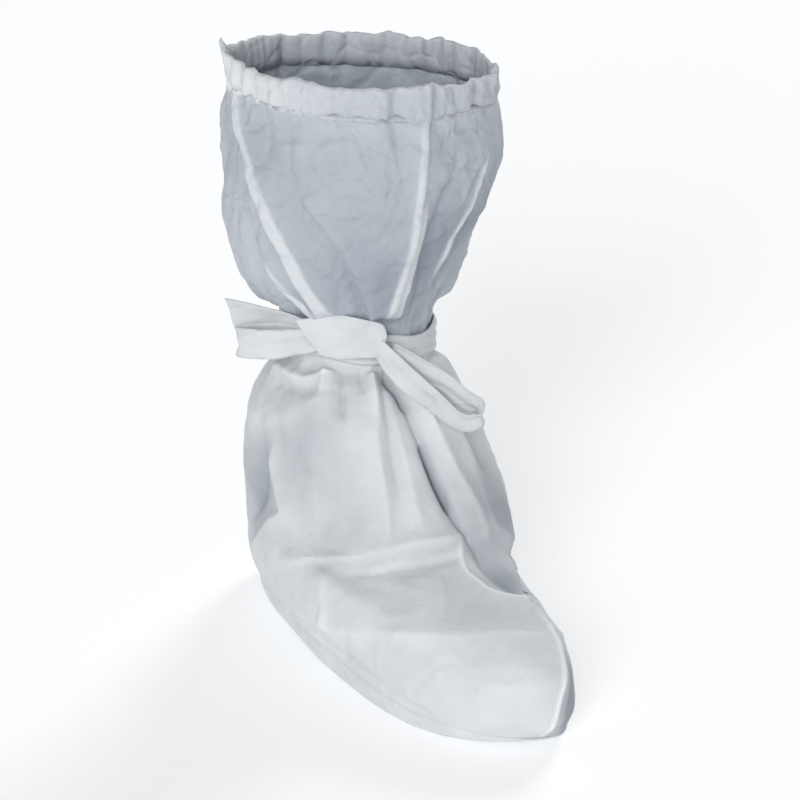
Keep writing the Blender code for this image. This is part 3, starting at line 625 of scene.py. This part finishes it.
# Each ring goes in from the rim towards the middle line by its inset, at its share of the rim's height.
sole_angle = (np.arange(SOLE_COLUMNS) + 0.5) * 360.0 / SOLE_COLUMNS
rim = plain_upper(sole_angle, np.zeros_like(sole_angle))
middle_x = np.clip(rim[:, 0], HEEL_X, BALL_X)
middle = np.stack([middle_x, MIDDLE_Y + MIDDLE_SLANT * np.maximum(middle_x, 0)], -1)
inward = middle - rim[:, :2]
reach = np.linalg.norm(inward, axis=1, keepdims=True)
insets, shares = np.array(SOLE_ROWS).T[..., None]
flat_rings = rim[:, :2] + (inward / reach) * np.minimum(insets[..., None], MIDDLE_NEAR * reach)
low = under_sole(flat_rings[..., 0])
sole_points = np.concatenate([flat_rings, (low + shares * (rim[:, 2] - low))[..., None]], -1)[::-1]
sole_quads = np.concatenate([grid_quads(len(SOLE_ROWS), SOLE_COLUMNS, True), cap_quads(SOLE_COLUMNS)])
sole = add_piece("sole_film", sole_points, sole_quads, SOLE_FILM)
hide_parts("sole")

# %% [markdown]
# ## The hem
# The top edge is turned over an elastic. The elastic pulls it into uneven gathers, its turned edge stands
# off the shaft, and at the packing crease on the inner back the hem makes a sharp corner. It is a closed
# section carried round the collar, with waves whose share grows away from the elastic.

# %% Hem
# Columns of the section, in order round it: out from the collar, up from it, share of the waves.
HEM_SECTION = (
    (0.4, 1, 0.2), (0.7, -1.5, 0.7), (1.5, -1, 0.8), (2.6, 2.5, 0.8), (2.4, 5, 0.5),
    (1.9, 7, 0.35), (2.1, 9, 0.4), (2.8, 11.5, 0.8), (2.4, 15.5, 1), (1, 17.5, 1.1),
    (-0.2, 15.5, 1), (-1.6, 10, 0.5), (-2, 3, 0.2), (-0.9, -1.5, 0), (-0.2, -2, 0),
)
HEM_WAVES = ((9, 0.9, 0.3), (16, 1.1, 2.2), (25, 1.1, 4.0), (41, 0.8, 1.0))  # count, depth, shift
HEM_DIPS = ((3, 2.0, 0.8), (7, 2.8, 0.5), (13, 2.2, 0.5), (29, 1.2, 0.0))
HEM_WAVE_SHARE, TOP_DIP_SHARE, LOW_DIP_SHARE = 0.8, 0.3, 0.9
UNEVEN, UNEVEN_ROUND = 0.5, 3  # how early or late the waves come, and how often that changes round the hem
CORNER_ANGLE, CORNER_SPREAD, CORNER_UP, CORNER_OUT = 118.0, 6.0, 10.0, 5.0
HEM_COLUMNS = 480
HEM_CRUMPLES = ((16.0, 1.6, 21), (9.0, 0.7, 22))
HEM_INNER_DROP, HEM_INNER_OFF = 0.12, 1.6  # stations below the collar, mm inside the shaft's surface
HEM_LIGHTEST_ANGLE, HEM_LIGHTEST_SPREAD = 100.0, 45.0  # where the hem's colour is lightest, and how far that reaches
HEM_LIGHT_ELSEWHERE = 0.3  # the hem's share of the light colour elsewhere
HEM_TOP = 16.0  # height at which dips and corner are full
HEM_DOUBLED, HEM_DOUBLED_SOFT = 14.0, 3.0  # height from which the turned edge is whiter


def degrees_from(angle, other):
    """Degrees from one angle to another, the short way round."""
    return (angle - other + 180) % 360 - 180


# Each point of the section goes out from the collar and up from it. Sharp waves, 1 - 2 |sin|, move it out
# and in, sine dips move it up and down, and the corner adds to both.
hem_angle = np.arange(HEM_COLUMNS) * 360.0 / HEM_COLUMNS
top = np.full_like(hem_angle, float(LAST))
collar, collar_out = folded_upper(hem_angle, top)[0], outward(hem_angle, top)
collar_out = unit(collar_out * (1, 1, 0))
turn = np.radians(hem_angle)
uneven = UNEVEN * np.sin(UNEVEN_ROUND * turn)
hem_wave, hem_dip = np.zeros_like(turn), np.zeros_like(turn)
for count, depth, shift in HEM_WAVES:
    hem_wave += depth * (1 - 2 * np.abs(np.sin(turn * count / 2 + shift + uneven)))
for count, depth, shift in HEM_DIPS:
    hem_dip += depth * np.sin(turn * count + shift + uneven)
corner = np.exp(-np.abs(degrees_from(hem_angle, CORNER_ANGLE)) / CORNER_SPREAD)
far, high, wavy = np.array(HEM_SECTION).T[..., None]
upper_part = smooth_step(high / HEM_TOP)
hem_far = far + HEM_WAVE_SHARE * wavy * hem_wave + CORNER_OUT * corner * upper_part
raised = collar + high[..., None] * np.array([0.0, 0.0, 1.0])
hem_far += wavy * crumple(raised, HEM_CRUMPLES)
scallop = TOP_DIP_SHARE * upper_part * hem_dip - LOW_DIP_SHARE * (1 - upper_part) * np.maximum(hem_dip, 0)
hem_high = high + wavy * scallop + CORNER_UP * corner * upper_part
hem_points = collar + collar_out * hem_far[..., None]
hem_points[..., 2] += hem_high
low_edge = np.full_like(hem_angle, LAST - HEM_INNER_DROP)
shaft_wall, wall_out = folded_upper(hem_angle, low_edge)[0], outward(hem_angle, low_edge)
hem_points[-2] = shaft_wall - HEM_INNER_OFF * wall_out
hem_points[-1] = shaft_wall
hem_quads = grid_quads(len(HEM_SECTION) + 1, HEM_COLUMNS, True) % (len(HEM_SECTION) * HEM_COLUMNS)
hem = add_piece("hem", hem_points, hem_quads)
# The hem's share of the light colour: most round the inner side, less elsewhere.
lightest = np.exp(-((degrees_from(hem_angle, HEM_LIGHTEST_ANGLE) / HEM_LIGHTEST_SPREAD) ** 2))
hem_painted_light = HEM_LIGHT_ELSEWHERE + (1 - HEM_LIGHT_ELSEWHERE) * lightest
hem_doubled = smooth_step((high - HEM_DOUBLED) / HEM_DOUBLED_SOFT)
set_point_values(hem, "painted_light", np.broadcast_to(hem_painted_light, hem_far.shape))
set_point_values(hem, "doubled", np.broadcast_to(hem_doubled, hem_far.shape))
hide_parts("top_hem")

# %% [markdown]
# ## The tie
# A strip of the same laminate goes round the ankle, crosses under a flat knot and ends in a bow. The band is
# a surface round the shaft's axis, a little off the gathered cloth, and creased along its length as a folded
# strip is when it is pulled tight.

# %% Tie band
BAND_OFF, BAND_TALL = 1.6, 17.5
BAND_ROWS, BAND_COLUMNS = 15, 240
TIE_STRIP = 0.8
BAND_SAGS = ((3, 0.6, 0.6), (7, 0.4, 0.0))  # count round the band, depth, shift
CREASE, CREASE_WAVES = 0.55, 2.5  # depth, and half waves from the band's middle to its edge
CREASE_WANDER, WANDER_ROUND = 0.8, 4  # how far the creases wander up and down, how often round the band
BAND_RIPPLE, RIPPLE_ROUND, RIPPLE_SLANT = 0.3, 9, 4
TALL_VARIES, TALL_ROUND, EDGE_ROUND = 0.8, 5, 0.8

# The band is the plain upper at the tie, moved out, with cosine creases along it, a sag and rounded edges.
column_angles = np.arange(BAND_COLUMNS) * 360.0 / BAND_COLUMNS
band_angle, band_up = np.meshgrid(column_angles, np.linspace(-1, 1, BAND_ROWS))
band_turn = np.radians(band_angle)
band_plain = plain_upper(band_angle, np.full_like(band_angle, TIE_STATION))
band_normal = outward(band_angle, np.full_like(band_angle, TIE_STATION))
sag = sum(depth * np.sin(count * band_turn + shift) for count, depth, shift in BAND_SAGS)
wander = CREASE_WANDER * np.sin(WANDER_ROUND * band_turn)
crease = CREASE * np.cos(CREASE_WAVES * np.pi * band_up + wander)
crease += BAND_RIPPLE * np.cos(RIPPLE_ROUND * band_turn + RIPPLE_SLANT * band_up)
band_points = band_plain + band_normal * (BAND_OFF + crease - EDGE_ROUND * band_up**4)[..., None]
band_points[..., 2] += band_up * (BAND_TALL / 2 + TALL_VARIES * np.sin(TALL_ROUND * band_turn)) + sag
band_quads = grid_quads(BAND_ROWS, BAND_COLUMNS, True)
band = add_piece("tie_band_strip", band_points, band_quads, TIE_STRIP, 1)
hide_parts("tie_band")

# %% [markdown]
# ## The knot
# The strip's last turn is pulled flat over the crossing, so the knot is a low wrap that narrows to a corner
# at each end. It could be a squashed ball, but a section carried along a line keeps its two corners sharp.

# %% Knot, in axes of the bow's own
BOW_TURN = np.radians(41.0)  # from the front seam towards the inner side
# Columns: along (+ towards the heel side), out from the axis, up from the tie's middle,
# half of the height, half of the thickness.
KNOT_STOPS = (
    (-24.5, 50.5, 11.5, 0.6, 0.3), (-22.8, 51.5, 10.5, 7.5, 0.8), (-18.8, 52.6, 9.3, 11.2, 1.1),
    (-9, 54.2, 10.2, 12.8, 1.4), (3, 55, 11, 14.2, 1.5), (10, 55, 11, 13.6, 1.4),
    (16, 54.8, 11.6, 12, 1.2), (22, 54.5, 14, 8.4, 0.9), (31, 53.8, 20, 0.6, 0.2),
)
KNOT_STEPS, KNOT_ROUND = 70, 40
KNOT_SQUARE = 0.7  # below 1 the section's corners are fuller than an ellipse's
KNOT_CREASES = ((0.5, 0.5, 0.12), (0.3, 0.9, -0.2))  # depth, radians for each mm up, and along
CREASED_THICK = 2.4  # half thickness that would show the creases in full


def bow_space(points):
    """Bow points (along the strip, out from the axis, up from the tie's middle) in the part's own axes."""
    out = np.array([np.cos(BOW_TURN), -np.sin(BOW_TURN), 0.0])
    along = np.array([-np.sin(BOW_TURN), -np.cos(BOW_TURN), 0.0])
    rise = np.array([0.0, 0.0, 1.0])
    return points[..., :1] * along + points[..., 1:2] * out + points[..., 2:3] * rise + tie_middle


def strip_line(stops, count):
    """Evenly spaced rows on a smooth curve through the stops."""
    stops = np.array(stops, float)
    run = np.concatenate([[0], np.cumsum(np.linalg.norm(np.diff(stops[:, :3], axis=0), axis=1))])
    fine = np.linspace(0, run[-1], count)
    return np.stack([smooth(fine, run, stops[:, k]) for k in range(stops.shape[1])], -1)


# Round the line the section is a flattened ring: up by a sine, squared off, and out by a cosine. Cosine
# creases lie on its front only.
knot_rows = strip_line(KNOT_STOPS, KNOT_STEPS)[:, None]
knot_round = np.linspace(0, 2 * np.pi, KNOT_ROUND, endpoint=False)[None]
knot_side = np.sign(np.sin(knot_round)) * np.abs(np.sin(knot_round)) ** KNOT_SQUARE
knot_along = knot_rows[..., 0]
knot_up = knot_rows[..., 2] + knot_rows[..., 3] * knot_side
knot_crease = sum(depth * np.cos(up * knot_up + on * knot_along) for depth, up, on in KNOT_CREASES)
knot_front = np.clip(np.cos(knot_round), 0, 1) * knot_rows[..., 4] / CREASED_THICK
knot_out = knot_rows[..., 1] + knot_rows[..., 4] * np.cos(knot_round) + knot_crease * knot_front
knot_points = np.stack(np.broadcast_arrays(knot_along, knot_out, knot_up), -1)
knot_caps = cap_quads(KNOT_ROUND)[:, ::-1], cap_quads(KNOT_ROUND) + (KNOT_STEPS - 1) * KNOT_ROUND
knot_quads = np.concatenate([grid_quads(KNOT_STEPS, KNOT_ROUND, True)[:, ::-1], *knot_caps])
knot = add_piece("tie_knot_wrap", bow_space(knot_points), knot_quads)
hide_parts("tie_knot")

# %% [markdown]
# ## Loops and tails
# Each end leaves the knot, folds back on itself as a loop and goes on behind the knot as a tail. The loops
# are pressed flat, so their two layers nearly touch, and the tails are cut aslant.

# %% The two ends of the tie
# Columns: along, out and up as above, width, lean.
LEFT_END = (
    (18, 51, 7, 14, 0), (30, 52.5, 6, 17, 2), (44, 53.5, 4, 19, 4), (58, 53, 3.5, 20, 6),
    (67, 51, 3.5, 19, 6), (68, 48, 4, 19, 6), (60, 46.6, 5, 20, 6), (45, 46.8, 7, 19, 4),
    (30, 47.5, 8, 14, 0), (20, 48.4, 9, 11, 0), (23, 46.6, 10, 12, 0), (38, 44.5, 12.5, 18, 2),
    (55, 43.5, 15.5, 20, 4), (73.5, 42.5, 19, 20, 6),
)
RIGHT_END = (
    (-18, 51.5, 5, 12, 0), (-28, 55, -5, 14, -6), (-38, 57, -14.5, 15, -10), (-48, 57.5, -22.5, 14, -8),
    (-58, 57.5, -31, 13, 0), (-68, 57, -39.5, 13, 4), (-76, 55.5, -42, 13, 8), (-82.5, 53, -38.5, 12, 8),
    (-81, 50.5, -33.5, 12, 8), (-73.5, 49, -29.5, 12, 8), (-59.5, 48.5, -18.5, 13, 6),
    (-47, 48.5, -11.5, 13, 6), (-37, 48.5, -4.5, 12, 6), (-27, 48, 1, 11, 6), (-28.5, 44, -6, 9, 0),
    (-40, 40.5, -18, 10, 4), (-52, 41, -29, 10, 6), (-60, 42.5, -36, 10, 8),
)
STRIP_STEPS, STRIP_ACROSS = 120, 11
BEND, BEND_WAVES, BEND_TWIST = 0.8, 3, 5  # depth of the bend, half waves across, radians along the strip
RIPPLE, RIPPLE_ALONG, RIPPLE_ACROSS = 0.4, 40, 4  # depth of the ripples, radians along and across it
END_CUT, CUT_FROM, CUT_SOFT = 9.0, 0.92, 0.08  # the end's slant, and where along the strip it begins


def add_tie_end(name, stops, nodes):
    """One end of the tie: the strip's width, leaning out from upright, laid across its line at each step.

    Across the strip the cloth bends by a cosine: a soft crease along its middle, and curled edges."""
    rows = strip_line(stops, STRIP_STEPS)
    line, width, lean = rows[:, :3], rows[:, 3], np.radians(rows[:, 4])
    way = unit(np.gradient(line, axis=0))
    upright = np.stack([np.zeros_like(lean), np.sin(lean), np.cos(lean)], -1)
    across = unit(upright - way * (upright * way).sum(1, keepdims=True))
    face = np.cross(way, across)
    s = np.linspace(-0.5, 0.5, STRIP_ACROSS)
    run = np.linspace(0, 1, STRIP_STEPS)[:, None]
    bend = BEND * np.cos(BEND_WAVES * np.pi * s + BEND_TWIST * run)
    bend += RIPPLE * np.sin(RIPPLE_ALONG * run + RIPPLE_ACROSS * s)
    ahead = END_CUT * s * smooth_step((run - CUT_FROM) / CUT_SOFT)
    grid = line[:, None] + across[:, None] * (s * width[:, None])[..., None]
    grid = grid + face[:, None] * bend[..., None] + way[:, None] * ahead[..., None]
    quads = grid_quads(STRIP_STEPS, STRIP_ACROSS, False)
    piece = add_piece(name, bow_space(grid), quads, TIE_STRIP, 0)
    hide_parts(*nodes)
    return piece


left_end = add_tie_end("tie_end_left", LEFT_END, ("tie_loop_left", "tie_tail_left"))
right_end = add_tie_end("tie_end_right", RIGHT_END, ("tie_loop_right", "tie_tail_right"))

# %% [markdown]
# ## The film's finish
# The laminate is a matt film on a bonded web, with a fine grain, soft handling crinkles and a faint mottle.
# One node group works out the height and the mottle from Object coordinates, and each material gives it its
# own sizes, so the upper, the sole and the tie differ as the real ones do.

# %% Node group of the film
WARP_SCALE, WARP_BY = 40.0, (0.02, 0.02, 0.02)  # size of the soft noise, and how far it bends the cells
SOFT_DETAIL, GRAIN_DETAIL = 3.0, 4.0  # octaves of the soft noise and of the grain
CREASE_EDGE = 0.22  # width of a crease line, as a share of its cell
SOFT_SHARE, GRAIN_SHARE = 1.2, 0.12  # heights of the noise and the grain beside the crease lines


def add_node(tree, kind, inputs, **settings):
    """The outputs of a new node. Each of its inputs takes a value, or a link if it is given an output."""
    node = tree.nodes.new(kind)
    for name, setting in settings.items():
        setattr(node, name, setting)
    for name, given in inputs.items():
        if isinstance(given, bpy.types.NodeSocket):
            tree.links.new(given, node.inputs[name])
        else:
            node.inputs[name].default_value = given
    return node.outputs


def film_group():
    """A group that adds soft noise, crease lines at the edges of chance cells, and a fine grain."""
    group = bpy.data.node_groups.new("film_crinkle", "ShaderNodeTree")
    for name, kind in (("Vector", "Vector"), ("Cells", "Float"), ("Grain", "Float")):
        group.interface.new_socket(name=name, in_out="INPUT", socket_type="NodeSocket" + kind)
    for name in ("Height", "Mottle"):
        group.interface.new_socket(name=name, in_out="OUTPUT", socket_type="NodeSocketFloat")
    come = group.nodes.new("NodeGroupInput").outputs
    place = come["Vector"]
    broad = {"Vector": place, "Scale": WARP_SCALE, "Detail": SOFT_DETAIL}
    warp = add_node(group, "ShaderNodeTexNoise", broad)
    bent = add_node(
        group, "ShaderNodeVectorMath", {0: warp["Color"], 1: WARP_BY, 2: place}, operation="MULTIPLY_ADD")
    cells = add_node(
        group, "ShaderNodeTexVoronoi", {"Vector": bent[0], "Scale": come["Cells"]},
        feature="DISTANCE_TO_EDGE")
    edge = add_node(
        group, "ShaderNodeMapRange", {"Value": cells["Distance"], "From Max": CREASE_EDGE},
        interpolation_type="SMOOTHSTEP")
    fine = {"Vector": place, "Scale": come["Grain"], "Detail": GRAIN_DETAIL}
    grain = add_node(group, "ShaderNodeTexNoise", fine)
    soft = add_node(
        group, "ShaderNodeMath", {0: warp["Fac"], 1: SOFT_SHARE, 2: edge["Result"]},
        operation="MULTIPLY_ADD")
    tall = add_node(
        group, "ShaderNodeMath", {0: grain["Fac"], 1: GRAIN_SHARE, 2: soft[0]}, operation="MULTIPLY_ADD")
    add_node(group, "NodeGroupOutput", {"Height": tall[0], "Mottle": warp["Fac"]})
    return group


FILM = film_group()
print("film group:", len(FILM.nodes), "nodes,", len(FILM.links), "links")

# %% [markdown]
# ## Five materials from one film
# Foot, shaft and hem take their colour from the numbers that each point carries, between painted shade and
# painted light, and whiter where a fold doubles it. The sole and the tie are plain film with a mottle.

# %% Materials
SHINE, BUMP_STRENGTH, GLOSS_VARIES = 0.25, 0.6, 0.08
MOTTLE_LOW, MOTTLE_HIGH = 0.35, 0.65  # the part of the noise that the mottle spans
MOTTLE_ON_FOLDS = 0.05  # how much it varies the colour of folded film
# Columns: name, colour of painted shade, colour of painted light (for the sole and the tie, the two ends of
# the mottle), crease cells and grain for each metre, bump in mm, roughness, colour where doubled.
FILMS = (
    ("foot_laminate", (0.30, 0.335, 0.37), (0.82, 0.84, 0.855), 32, 900, 0.8, 0.55, (0.84, 0.86, 0.87)),
    # The shaft's colours are darker than the foot's: partly the dark trousers seen through the film, partly
    # painted shade.
    ("shaft_laminate", (0.26, 0.30, 0.345), (0.50, 0.54, 0.58), 44, 900, 1.5, 0.55, (0.66, 0.69, 0.71)),
    ("hem_laminate", (0.40, 0.435, 0.475), (0.70, 0.73, 0.755), 60, 900, 0.9, 0.55, (0.62, 0.65, 0.675)),
    ("sole_film", (0.62, 0.645, 0.67), (0.69, 0.715, 0.74), 50, 700, 0.5, 0.5, None),
    ("tie_laminate", (0.62, 0.64, 0.66), (0.69, 0.71, 0.725), 70, 1100, 0.6, 0.6, None),
)


def film_material(name, painted_shade, painted_light, cells, grain, depth, rough, doubled):
    """A film: bump from the group, colour by its mottle or by its painted shade and light, and whiter where
    it is doubled.
    """
    material = bpy.data.materials.new(name)
    material.use_nodes = True
    tree = material.node_tree
    place = add_node(tree, "ShaderNodeTexCoord", {})
    sizes = {"Vector": place["Object"], "Cells": cells, "Grain": grain}
    film = add_node(tree, "ShaderNodeGroup", sizes, node_tree=FILM)
    relief = {"Height": film["Height"], "Strength": BUMP_STRENGTH, "Distance": depth * MM}
    bump = add_node(tree, "ShaderNodeBump", relief)
    spread = {"Value": film["Mottle"], "To Min": rough - GLOSS_VARIES, "To Max": rough + GLOSS_VARIES}
    gloss = add_node(tree, "ShaderNodeMapRange", spread)
    span = {"Value": film["Mottle"], "From Min": MOTTLE_LOW, "From Max": MOTTLE_HIGH}
    if doubled:
        span.update({"To Min": -MOTTLE_ON_FOLDS, "To Max": MOTTLE_ON_FOLDS})
    share = add_node(tree, "ShaderNodeMapRange", span)["Result"]
    if doubled:
        painted_light_attribute = add_node(tree, "ShaderNodeAttribute", {}, attribute_name="painted_light")
        share = add_node(tree, "ShaderNodeMath", {0: painted_light_attribute["Fac"], 1: share}, use_clamp=True)[0]
    colours = {"Factor": share, "A": (*painted_shade, 1), "B": (*painted_light, 1)}
    colour = add_node(tree, "ShaderNodeMix", colours, data_type="RGBA")["Result"]
    if doubled:
        layers = add_node(tree, "ShaderNodeAttribute", {}, attribute_name="doubled")
        colours = {"Factor": layers["Fac"], "A": colour, "B": (*doubled, 1)}
        colour = add_node(tree, "ShaderNodeMix", colours, data_type="RGBA")["Result"]
    shader = tree.nodes["Principled BSDF"].inputs
    shader["Specular IOR Level"].default_value = SHINE
    for socket, name in ((bump["Normal"], "Normal"), (gloss["Result"], "Roughness"), (colour, "Base Color")):
        tree.links.new(socket, shader[name])
    return material


finish = {row[0]: film_material(*row) for row in FILMS}
pieces_of = {
    "foot_laminate": (foot,), "shaft_laminate": (shaft,), "hem_laminate": (hem,), "sole_film": (sole,),
    "tie_laminate": (band, knot, left_end, right_end),
}
for name, pieces in pieces_of.items():
    for piece in pieces:
        piece.data.materials.append(finish[name])
print("materials:", list(finish))

# %% [markdown]
# ## The floor
# The photograph stands on white. The floor is one large square, which glows a little, as a white studio
# floor does in a bright picture.

# %% Floor
FLOOR_SIZE = 12.0
FLOOR_PAINT = {
    "Base Color": (0.92, 0.92, 0.92, 1), "Roughness": 0.9, "Specular IOR Level": 0.1,
    "Emission Color": (1, 1, 1, 1), "Emission Strength": 0.28,
}
floor_mesh = bpy.data.meshes.new("floor")
half_floor = FLOOR_SIZE / 2
floor_corners = [(x * half_floor, y * half_floor, 0) for x, y in ((-1, -1), (1, -1), (1, 1), (-1, 1))]
floor_mesh.from_pydata(floor_corners, [], [(0, 1, 2, 3)])
floor = add_object("floor", floor_mesh)
floor_paint = bpy.data.materials.new("floor_paint")
floor_paint.use_nodes = True
for name, value in FLOOR_PAINT.items():
    floor_paint.node_tree.nodes["Principled BSDF"].inputs[name].default_value = value
floor_mesh.materials.append(floor_paint)
print("floor", FLOOR_SIZE, "m wide")

# %% [markdown]
# ## The light
# The photograph is lit softly from beside the camera. A wide lamp near the camera gives the bright toe and
# the shaded far side, a weaker one from behind shows the folds at the back, and the world is a pale grey.

# %% Lamps and world
WORLD_COLOUR, WORLD_STRENGTH = (0.95, 0.97, 1.0, 1), 0.42
LAMP_FAR = 2  # only its direction counts
# Columns: name, turn from the camera towards its left, rise, strength, spread, all angles in degrees.
SUNS = (("key", 14.0, 24.0, 1.5, 24.0), ("back", 205.0, 34.0, 0.9, 20.0))
for name, turn_left, rise, strength, spread in SUNS:
    lamp = add_object(name, bpy.data.lights.new(name, "SUN"))
    lamp.data.energy, lamp.data.angle = strength, np.radians(spread)
    to_lamp = VIEW_TURN + np.radians(turn_left)
    level = np.cos(np.radians(rise))
    towards = Vector((np.cos(to_lamp) * level, -np.sin(to_lamp) * level, np.sin(np.radians(rise))))
    lamp.rotation_euler = towards.to_track_quat("Z", "Y").to_euler()
    lamp.location = towards * LAMP_FAR
world = bpy.data.worlds.new("studio")
world.use_nodes = True
sky = world.node_tree.nodes["Background"]
sky.inputs["Color"].default_value, sky.inputs["Strength"].default_value = WORLD_COLOUR, WORLD_STRENGTH
bpy.context.scene.world = world
bpy.context.scene.view_settings.view_transform = "Standard"
print("lamps:", [sun[0] for sun in SUNS])
